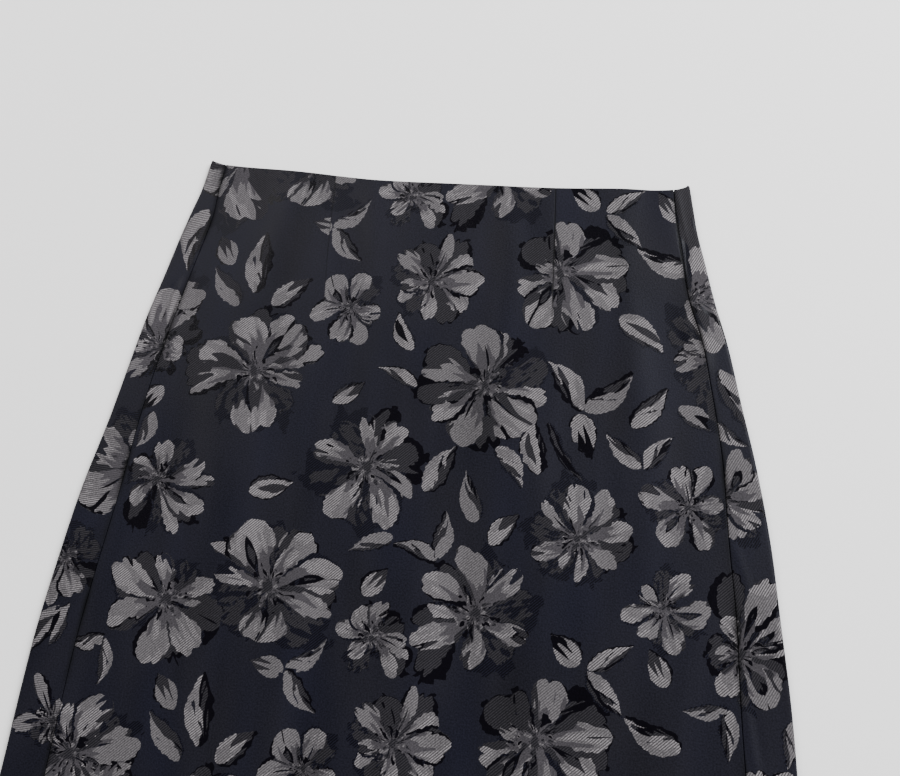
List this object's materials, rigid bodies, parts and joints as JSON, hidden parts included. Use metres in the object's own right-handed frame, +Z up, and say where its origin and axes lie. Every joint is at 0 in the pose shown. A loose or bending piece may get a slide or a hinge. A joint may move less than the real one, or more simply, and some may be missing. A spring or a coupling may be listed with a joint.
{
  "type": "a-line skirt",
  "caption": "Flat-laid a-line skirt with a bandless waist, waist darts, side seams that roll to the front and a concealed side zip.",
  "frame": {"origin": "middle of the flat skirt's outline, on the surface it lies on", "axes": "+Z up, out of the front of the skirt; +Y towards the waist edge; +X towards the wearer's left side, where the zip is"},
  "size_m": [0.5406, 0.6039, 0.0057],
  "materials": {
    "jacquard_cloth": "near-black navy satin ground with matt grey-taupe twill flowers and leaves",
    "zip_tape": "dark woven tape",
    "slider_metal": "dark satin enamel"
  },
  "bodies": {
    "root": {"front_panel": "jacquard_cloth", "back_panel": "jacquard_cloth", "zip_tape": "zip_tape", "zip_slider": "slider_metal"}
  },
  "joints": []
}
